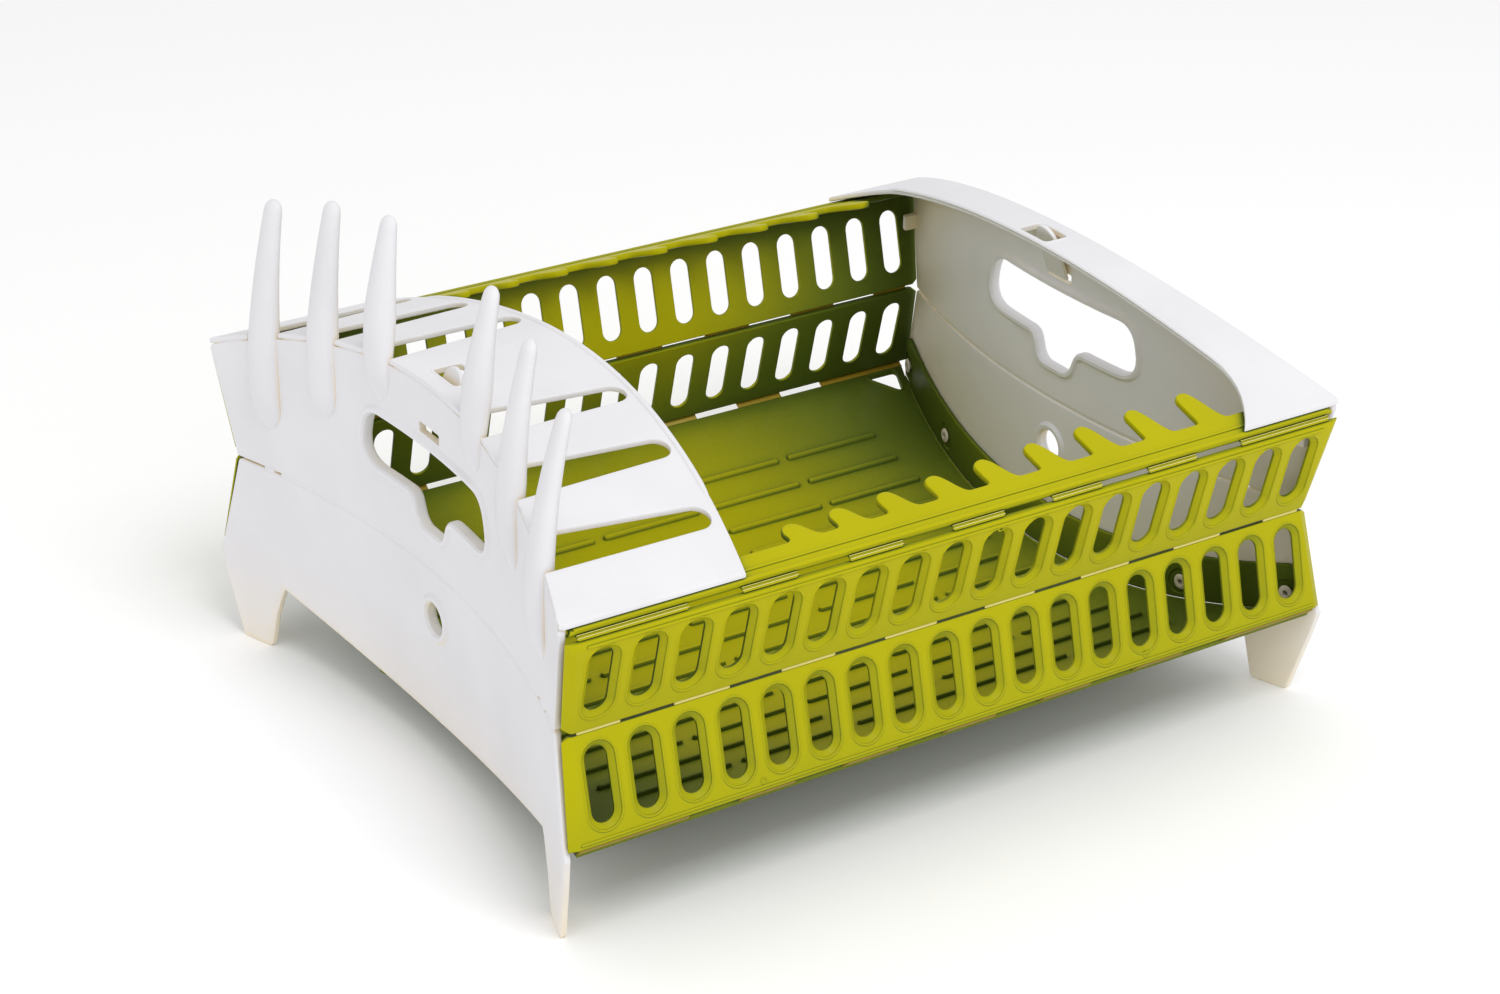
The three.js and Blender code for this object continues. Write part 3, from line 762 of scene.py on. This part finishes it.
def hinge_pieces(side):
    """The webs of a side's three hinges."""
    lower, upper, strip = f"{side}_lower", f"{side}_upper", f"{side}_strip"
    bottom_reach, middle_reach, top_reach = HINGE_REACH
    t = sizes().web_thick / MM
    # bottom hinge, between the tray's edge and the panel's foot
    section = [(2.2, -2.0), (2.2, -2.0 - t), (0, -1.9), (-2.6, 0.3), (-3.3, 1.6), (-2.5, 1.9),
               (-1.6, 0.7), (-0.2, -0.8)]
    web_piece(side, "bottom_hinge_web", ("tray", lower), web_spans(bottom_reach, 0.5), (-SIDE_Y, SIDE_Z),
              section, ((1.4, -1.0), (-1.4, 1.0)))
    # middle crease, just behind the outer faces
    near, far = 0.25, 0.25 + t
    section = [(near, -0.9), (near - 0.1, 0), (near, 0.9), (far, 0.9), (far - 0.1, 0), (far, -0.9)]
    web_piece(side, "middle_hinge_web", (lower, upper), web_spans(middle_reach, 0.0), (-CREASE_Y, CREASE_Z),
              section, ((0, -0.9), (0, 0.9)))
    # top hinge: a thin web with two fine ridges, between the upper panel and the comb
    section = [(-1.6, -0.7), (-1.3, 0.9), (0.2, 1.5), (1.4, 1.0), (1.4, 1.0 - t), (0.4, 0.7),
               (-0.6, 0.3), (-0.9, -0.7)]
    spans, line, bend = web_spans(top_reach, 0.5), (-SIDE_Y, TOP_Z), ((-1.0, -0.6), (1.0, 0.8))
    web_piece(side, "top_hinge_web", (upper, strip), spans, line, section, bend, LIME)
    radius, angles = 0.28, (0.4, 1.7, 2.9, 4.2, 5.4)
    for number, (y, z) in enumerate(((-1.45, 0.5), (-0.3, 1.4)), 1):
        ridge = [(y + radius * math.cos(a), z + radius * math.sin(a)) for a in angles]
        web_piece(side, f"top_hinge_ridge_{number}", (upper, strip), spans, line, ridge, bend)


def oblong(left, right, low, high, radius, count):
    """A rounded rectangle."""
    corners = ((left, low), (right, low), (right, high), (left, high))
    return rounded([(corner, radius) for corner in corners], count)


def lower_wall_solids(side):
    """The lower end wall, from its crease down to its two feet and the arch between them."""
    low, high = -WALL_THICK / 2, WALL_THICK / 2
    right = [((CREASE_EDGE, CREASE_Z - WALL_CREASE), 3), ((WALL_EDGE, 54), 3), ((185, 50.6), 3.2),
             ((181.8, 37), 8), ((171.6, 0), 4), ((151.0, 0), 4), ((146, 21), 10), ((140.0, 36.5), 2)]
    arch = steps(138, -138, 24, lambda y: ((y, tray_z(y) + 1), 0))
    left = [((-x, y), r) for (x, y), r in reversed(right)]
    outline = rounded(right + arch + left)
    # the outer face falls away in a wide bevel along every edge
    bevel = [(0.9, low), (0.26, low + 0.26), (0, low + 0.9), (0, high - 1.3), (0.2, high - 0.95),
             (2.4, high - 0.1), (2.8, high)]
    loops = [(outline, bevel), (circle(0, HOOK_Z, HOOK_RADIUS, 32), beaded_edge(low, high))]
    return [slab(loops, on_wall(side), bowed_cuts(WALL_CUTS))]


def upper_wall_solids(side):
    """The upper end wall with its hand hole, latch pocket and catch tabs, and the web of its crease."""
    low, high = -WALL_THICK / 2, WALL_THICK / 2
    top = steps(176, -176, 40, lambda y: ((y, wall_top(y)), 0))
    corners = [((s * WALL_EDGE, wall_top(WALL_EDGE)), 3.5) for s in (1, -1)]
    bottom = [((s * CREASE_EDGE, CREASE_Z + WALL_CREASE), 1.5) for s in (-1, 1)]
    outline = rounded(bottom + corners[:1] + top + corners[1:])
    loops = [(outline, round_edge(low, high, 0.9)), (rounded(HAND_HOLE, 7), beaded_edge(low, high))]
    loops.append((oblong(*LATCH_POCKET, 3), round_edge(low, high, 0.5)))
    place, cuts = on_wall(side), bowed_cuts(WALL_CUTS)
    solids = [slab(loops, place, cuts)]
    near, far, under, over, long = CATCH_TAB
    for s in (1, -1):
        profile = [(0.9, low - long), (0.25, low - long + 0.3), (0, low - long + 1.0), (0, low + 0.8)]
        solids.append(slab([(oblong(s * far, s * near, under, over, 1, 3), profile)], place))
    # the crease web lies a little below both faces, and has a long and a short slit at each end
    long_slit, short_slit, last = WALL_SLITS
    half = 1.4
    for start, end in ((-long_slit, long_slit), (short_slit, last), (-last, -short_slit)):
        web = [(start, -half), (end, -half), (end, half), (start, half)]
        loop = [(y, CREASE_Z + z) for y, z in web]
        solids.append(slab([(loop, [(0, -0.9), (0, 1.6)])], place, cuts))
    return solids


def prong_solid(spec, mirror):
    """A flattened finger that swells out of the wall's outer face and bows inward to a round tip."""
    root_y, root_z, tip_x, tip_y, tip_z = spec
    root = Vector((outer_x(root_y) - 0.6, root_y, root_z))
    tip = Vector((tip_x, tip_y, tip_z))
    along = (tip - root).normalized()
    long = (tip - root).length
    across = Vector((math.sin(wall_turn(root_y)), math.cos(wall_turn(root_y)), 0))
    across = (across - along * across.dot(along)).normalized()
    out = across.cross(along).normalized()
    shaft = long - PRONG_TIP
    rows = []
    # the lower end is as round as a thumb, and it only comes clear of the wall further up
    swell_long, rise_long = 16.0, 46.0
    sunk = 0.42  # share of the full thickness at the root
    for height in (0.0, 0.5, 1.6, 3.2, 5.6, 8.6, 12.0, 16.0, 23.0, 30.0, 38.0, 46.0):
        part = min(1.0, height / swell_long)
        rise = min(1.0, height / rise_long)
        dome = 1 - (1 - part) ** 2
        proud = sunk + (1 - sunk) * rise * (2 - rise)
        thick = PRONG_WIDE * PRONG_FLATNESS * proud * math.sqrt(max(0.02, dome))
        rows.append((height, max(0.8, PRONG_WIDE * math.sqrt(dome)), thick))
    for i in range(1, 9):
        t = i / 8
        half = PRONG_WIDE + (PRONG_TIP - PRONG_WIDE) * t
        rows.append((rise_long + (shaft - rise_long) * t, half, half * PRONG_FLATNESS))
    for degrees in (25, 45, 62, 75, 85):
        a = math.radians(degrees)
        half = PRONG_TIP * math.cos(a)
        rows.append((shaft + PRONG_TIP * math.sin(a), half, half * PRONG_FLATNESS))
    rings = []
    for height, half, thick in rows:
        t = min(1.0, height / long)
        bulge = 4 * t * (1 - t) * (PRONG_BULGE * root_y + 0.6) + 1.6 * min(1.0, height / 20) * (1 - t)
        centre = root + along * height + out * bulge
        ring = []
        for a in full_turn(24):
            p = centre + across * (half * math.cos(a)) + out * (thick * math.sin(a))
            ring.append((-p.x, -mirror * p.y, p.z))
        rings.append(ring)
    return loft(rings)


def flange_solids(side):
    """The tray's upright end flange, recessed round its four rivets."""
    high = FLANGE_THICK
    foot, corner = 0.4, 9
    low_corners = [((-FLANGE_REACH, foot), 0), ((FLANGE_REACH, foot), 0)]
    high_corners = [((s * FLANGE_REACH, FLANGE_HEIGHT), corner) for s in (1, -1)]
    outline = rounded(low_corners + high_corners, 6)
    loops = [(outline, round_edge(0, high))]
    for y in RIVET_SPOTS:
        for s in (1, -1):
            recess = [(4.6, 0), (4.2, 0.55), (0, 0.55), (0, high - 0.3), (0.3, high)]
            loops.append((circle(s * y, RIVET_RISE, 2.9, 20), recess))
    return [slab(loops, on_flange(side), bowed_cuts(FLANGE_CUTS))]


def eyelet_solid(side, y):
    """An eyelet rivet: a domed head inside, and a hollow shank that ends in the wall."""
    inside, outside = -FLANGE_SETBACK - 0.2, WALL_THICK / 2 - 1.0
    bore, shank = 1.5, 2.5
    head = [(bore + 0.1, inside - 0.7), (2.6, inside - 1.0), (3.9, inside - 0.6), (4.3, inside)]
    profile = [(bore, inside + 1.0), *head, (shank, inside), (shank, outside), (bore, outside)]
    turn = Matrix.Rotation(-wall_turn(y), 3, "Z")
    rings = []
    for a in full_turn(24):
        ring = []
        for radius, out in profile:
            p = turn @ Vector((out, radius * math.cos(a), radius * math.sin(a)))
            ring.append((side * (wall_x(y) + p.x), side * (y + p.y), tray_z(y) + RIVET_RISE + p.z))
        rings.append(ring)
    return loft(rings, closed=True)


def tongue_solid(side):
    """The latch tongue: a D-shaped tab whose flat side faces inward."""
    foot, head = Vector(TONGUE_FOOT), Vector(TONGUE_HEAD)
    along = (head - foot).normalized()
    out = Vector((along.y, -along.x))
    long = (head - foot).length
    r = TONGUE_WIDTH / 2
    dome = steps(0, math.pi, 14, lambda a: (r * math.cos(a), long - r + r * math.sin(a)))
    outline = [(-r, 0.3), (r, 0.3)] + dome

    def place(y, height, thick):
        spot = foot + along * height + out * thick
        return side * spot.x, side * y, spot.y

    half = TONGUE_THICK / 2
    body = slab([(outline, round_edge(-half, half, 0.8))], place)
    rib = obround(0, long * 0.36, 11, 2.2, 5)
    return [body, slab([(rib, bump_edge(half - 0.4, half + 0.7, 0.6))], place)]


def flap_slot(spec, mirror):
    """One prong slot as an inlet from the flap's outer edge, in the order of growing y."""
    root_y, _, _, tip_y, _ = spec
    end = wide_flap_x(tip_y) + 5
    start = wall_x(root_y) + 12
    root_half, tip_half = PRONG_WIDE + PRONG_ROOM, PRONG_TIP + PRONG_ROOM
    turn = end + tip_half

    def corner(sign):
        y_start, y_end = root_y + sign * root_half, tip_y + sign * tip_half
        x = outer_x(y_start)
        t = (start - x) / (start - turn)
        return x, y_start + (y_end - y_start) * t

    quarter = math.pi / 2
    arc = steps(-quarter, quarter, 12, lambda a: (
        turn - tip_half * math.cos(a), tip_y + tip_half * math.sin(a)
    ))
    points = [corner(-1)] + arc + [corner(1)]
    return points if mirror > 0 else [(x, -y) for x, y in reversed(points)]


def flap_solids(side, inner_x, slotted):
    """A vaulted flap with its latch slot, and a bead under the middle of its free edge."""
    top = FLAP_THICK
    edge = steps(3 - FLAP_EDGE, FLAP_EDGE - 3, 60, lambda y: (outer_x(y), y))
    if slotted:
        inlets = [flap_slot(s, -1) for s in reversed(PRONGS)] + [flap_slot(s, 1) for s in PRONGS]
        kept, at = [], 0
        for inlet in inlets:
            first, last = inlet[0][1], inlet[-1][1]
            while at < len(edge) and edge[at][1] < first - 0.5:
                kept.append(edge[at])
                at += 1
            while at < len(edge) and edge[at][1] < last + 0.5:
                at += 1
            kept += inlet
        edge = kept + edge[at:]
    corner = [(outer_x(FLAP_EDGE) - 0.8, FLAP_EDGE - 0.9), (outer_x(FLAP_EDGE) - 3, FLAP_EDGE)]
    edge = [(x, -y) for x, y in reversed(corner)] + edge + corner
    inner = steps(FLAP_EDGE, -FLAP_EDGE, 60, lambda y: (inner_x(y), y))
    loops = [(edge + inner, round_edge(0, top, 0.8))]
    rim = [(0.5, 0), (0, 0.5), (0, top), (0.5, top + 0.5), (1.3, top + 0.5), (1.9, top)]
    loops.append((oblong(*LATCH_SLOT, 4), rim))
    cuts = strip_cuts(-FLAP_EDGE, FLAP_EDGE, 9, axis=1) + strip_cuts(104, 228, 10, axis=0)
    place = on_flap(side)
    solids = [slab(loops, place, cuts)]
    reach = 140 if slotted else 150
    path = steps(-reach, reach, 48, lambda y: place(inner_x(y) + 1.3, y, top - 0.4))
    solids.append(tube(path, 1.7, 0.85))
    return solids


def crease_solids(side, slotted):
    """The thin outer skin that joins the wall's top to the flap, left out where the prongs stand."""
    reach = PRONG_WIDE + 3
    breaks = sorted(mirror * spec[0] for spec in PRONGS for mirror in (1, -1)) if slotted else []
    starts = [-FLAP_EDGE + 4] + [y + reach for y in breaks]
    ends = [y - reach for y in breaks] + [FLAP_EDGE - 4]
    solids = []
    for start, end in zip(starts, ends):
        path = steps(start, end, max(2, round((end - start) / 8)), lambda y: (
            side * (wall_x(y) + 1.0), side * y, flap_under(y) - 0.2
        ))
        solids.append(tube(path, 0.85, 1.0, 8))
    return solids


def flap_bend(side, bend_long):
    """Start and end of a bend line for a flap, running square to the crease as seen from the side.
    They are handed on with the flap, which is not bent with them here."""
    slope = Vector((-38, 0, -35)).normalized()
    crease = Vector((outer_x(0), 0, FLAP_UNDER_MID))
    start, end = crease + slope * 1.5, crease + slope * bend_long
    return tuple(Vector((side * p.x, p.y, p.z)) * MM for p in (start, end))


# ---------- operators, the panel and the run ----------
class RackOperator:
    """What every operator of the rack shares"""

    bl_options = {"REGISTER", "UNDO"}


class RACK_OT_tray(RackOperator, bpy.types.Operator):
    """The sagging tray with its dashed ribs, drains and mould marks"""

    bl_idname = "rack.tray"
    bl_label = "Tray"

    def execute(self, context):
        tray_piece()
        return {"FINISHED"}


class RACK_OT_side_panels(RackOperator, bpy.types.Operator):
    """The four slotted panels of the zig-zag side walls"""

    bl_idname = "rack.side_panels"
    bl_label = "Side panels"

    def execute(self, context):
        for side in ("front", "back"):
            for level in ("lower", "upper"):
                panel_piece(side, level)
        return {"FINISHED"}


class RACK_OT_plate_combs(RackOperator, bpy.types.Operator):
    """The two toothed strips that hold plates"""

    bl_idname = "rack.plate_combs"
    bl_label = "Plate combs"

    def execute(self, context):
        strip_piece("front", FRONT_TIPS)
        strip_piece("back", BACK_TIPS)
        return {"FINISHED"}


class RACK_OT_side_hinges(RackOperator, bpy.types.Operator):
    """The living-hinge webs along the sides, with their windows"""

    bl_idname = "rack.side_hinges"
    bl_label = "Side hinges"

    def execute(self, context):
        for side in ("front", "back"):
            hinge_pieces(side)
        return {"FINISHED"}


class RACK_OT_end_walls(RackOperator, bpy.types.Operator):
    """The bowed end walls with feet, hand holes, hook holes and the cup prongs at the left"""

    bl_idname = "rack.end_walls"
    bl_label = "End walls"

    def execute(self, context):
        for side, name in ENDS:
            body = f"{name}_end"
            nodes = (f"{name}_wall_lower",), (f"{name}_wall_upper",)
            piece(f"{name}_footed_wall", lower_wall_solids(side), WHITE, body, nodes[0], sharp=18)
            piece(f"{name}_handle_wall", upper_wall_solids(side), WHITE, body, nodes[1])
        for mirror, word in ((1, "front"), (-1, "back")):
            for number, spec in enumerate(PRONGS, 1):
                finger = [prong_solid(spec, mirror)]
                piece(f"cup_prong_{word}_{number}", finger, WHITE, "left_end", sharp=60)
        return {"FINISHED"}


class RACK_OT_end_flanges(RackOperator, bpy.types.Operator):
    """The tray's upright end flanges, their living hinges and the eyelet rivets"""

    bl_idname = "rack.end_flanges"
    bl_label = "End flanges and rivets"

    def execute(self, context):
        for side, name in ENDS:
            body = f"{name}_end"
            piece(f"{name}_tray_flange", flange_solids(side), LIME, body, (f"{name}_end_flange",))
            eyelets = [eyelet_solid(side, s * y) for y in RIVET_SPOTS for s in (-1, 1)]
            rivets = tuple(f"{name}_rivet_{i}" for i in range(1, 5))
            piece(f"{name}_eyelets", eyelets, EYELET, body, rivets)
            # a bead on the tray's edge closes the gap below the flange
            lip = steps(-174, 174, 60, lambda y: (
                side * (wall_x(y) - FLANGE_SETBACK - 0.2), side * y, tray_z(y) - 0.5
            ))
            piece(f"{name}_tray_hinge_lip", [tube(lip, 1.0, 1.0, 8)], LIME, "tray")
        return {"FINISHED"}


class RACK_OT_flaps(RackOperator, bpy.types.Operator):
    """The wide slotted flap at the left and the narrow one at the right"""

    bl_idname = "rack.flaps"
    bl_label = "Flaps"

    def execute(self, context):
        flaps = (narrow_flap_x, False, 24), (wide_flap_x, True, 62)
        for (side, name), (inner_x, slotted, bend_long) in zip(ENDS, flaps):
            between = (f"{name}_end", f"{name}_flap", *flap_bend(side, bend_long))
            piece(f"{name}_vaulted_flap", flap_solids(side, inner_x, slotted), WHITE,
                  stands_for=(f"{name}_flap",), between=between)
            piece(f"{name}_flap_crease", crease_solids(side, slotted), WHITE, f"{name}_end")
        return {"FINISHED"}


class RACK_OT_latch_tongues(RackOperator, bpy.types.Operator):
    """The D-shaped latch tongues that stand through the flaps"""

    bl_idname = "rack.latch_tongues"
    bl_label = "Latch tongues"

    def execute(self, context):
        for side, name in ENDS:
            piece(f"{name}_latch_tab", tongue_solid(side), WHITE, f"{name}_end",
                  (f"{name}_latch_tongue",))
        return {"FINISHED"}


# camera: place in metres, then how it is turned, in degrees
CAMERA_PLACE = (-0.82937, -1.25588, 0.84636)
CAMERA_TURN, CAMERA_TILT, CAMERA_ROLL = -33.178, 63.548, 0.7006
CAMERA_LENS, CAMERA_SENSOR, CAMERA_NEAR = 77.372, 36.0, 0.05
# lights: name, place, aim, size in metres, power in watts
LIGHTS = (
    ("overhead_softbox", (-0.1, -1.2, 2.1), (0, 0, 0.1), 1.0, 18),
    ("front_softbox", (0.3, -2.4, 1.1), (0, 0, 0.1), 1.4, 4),
    ("left_fill", (-2.4, -0.3, 0.9), (0, 0, 0.12), 1.4, 4),
)
ROOM_LIGHT, FLOOR_REACH = 0.8, 6.0
STUDIO_WHITE = linear("#FFFFFF")


class RACK_OT_stage(RackOperator, bpy.types.Operator):
    """Pale floor, soft studio lights and the camera"""

    bl_idname = "rack.stage"
    bl_label = "Stage"

    def execute(self, context):
        scene = bpy.context.scene
        scene.view_settings.view_transform = "Standard"
        mesh = bpy.data.meshes.new("studio_floor")
        corners = [(x * FLOOR_REACH, y * FLOOR_REACH, 0) for x, y in ((-1, -1), (1, -1), (1, 1), (-1, 1))]
        mesh.from_pydata(corners, [], [(0, 1, 2, 3)])
        # uncoated studio paper, which scatters light evenly and hardly shines
        paper = bpy.data.materials.new("matt_white_paper")
        paper.use_nodes = True
        shader = paper.node_tree.nodes["Principled BSDF"]
        shader.inputs["Base Color"].default_value = STUDIO_WHITE
        shader.inputs["Roughness"].default_value = 0.95
        shader.inputs["Specular IOR Level"].default_value = 0.1
        mesh.materials.append(paper)
        floor = bpy.data.objects.new("studio_floor", mesh)
        scene.collection.objects.link(floor)
        world = bpy.data.worlds.new("studio")
        world.use_nodes = True
        sky = world.node_tree.nodes["Background"]
        sky.inputs["Color"].default_value = STUDIO_WHITE
        sky.inputs["Strength"].default_value = ROOM_LIGHT
        scene.world = world
        for name, place, aim, size, power in LIGHTS:
            lamp = bpy.data.lights.new(name, "AREA")
            lamp.size, lamp.energy, lamp.color = size, power, STUDIO_WHITE[:3]
            holder = bpy.data.objects.new(name, lamp)
            holder.location = place
            holder.rotation_euler = (Vector(aim) - Vector(place)).to_track_quat("-Z", "Y").to_euler()
            scene.collection.objects.link(holder)
        data = bpy.data.cameras.new("studio_camera")
        data.lens, data.sensor_width, data.clip_start = CAMERA_LENS, CAMERA_SENSOR, CAMERA_NEAR
        camera = bpy.data.objects.new("studio_camera", data)
        turn = Matrix.Rotation(math.radians(CAMERA_TURN), 4, "Z")
        tilt = Matrix.Rotation(math.radians(CAMERA_TILT), 4, "X")
        roll = Matrix.Rotation(math.radians(CAMERA_ROLL), 4, "Z")
        camera.matrix_world = Matrix.Translation(CAMERA_PLACE) @ turn @ tilt @ roll
        scene.collection.objects.link(camera)
        scene.camera = camera
        return {"FINISHED"}


class RACK_PT_panel(bpy.types.Panel):
    """Lists the rack's pieces"""

    bl_idname = "RACK_PT_panel"
    bl_label = "Dish Rack"
    bl_space_type = "VIEW_3D"
    bl_region_type = "UI"
    bl_category = "Dish Rack"

    def draw(self, context):
        layout = self.layout
        for group in (context.scene.rack_sizes, context.scene.rack_finish):
            for name in group.bl_rna.properties.keys():
                if name not in ("rna_type", "name"):
                    layout.prop(group, name)
        for operator in OPERATORS:
            layout.operator(operator.bl_idname)


OPERATORS = (
    RACK_OT_stage, RACK_OT_tray, RACK_OT_side_panels, RACK_OT_plate_combs, RACK_OT_side_hinges,
    RACK_OT_end_walls, RACK_OT_end_flanges, RACK_OT_flaps, RACK_OT_latch_tongues,
)
CLASSES = (RackSizes, RackFinish, *OPERATORS, RACK_PT_panel)


def register():
    for cls in CLASSES:
        bpy.utils.register_class(cls)
    bpy.types.Scene.rack_sizes = PointerProperty(type=RackSizes)
    bpy.types.Scene.rack_finish = PointerProperty(type=RackFinish)


def unregister():
    del bpy.types.Scene.rack_finish
    del bpy.types.Scene.rack_sizes
    for cls in reversed(CLASSES):
        bpy.utils.unregister_class(cls)


def main():
    register()
    for operator in OPERATORS:
        getattr(bpy.ops.rack, operator.bl_idname.split(".")[1])()


if __name__ == "__main__":
    main()
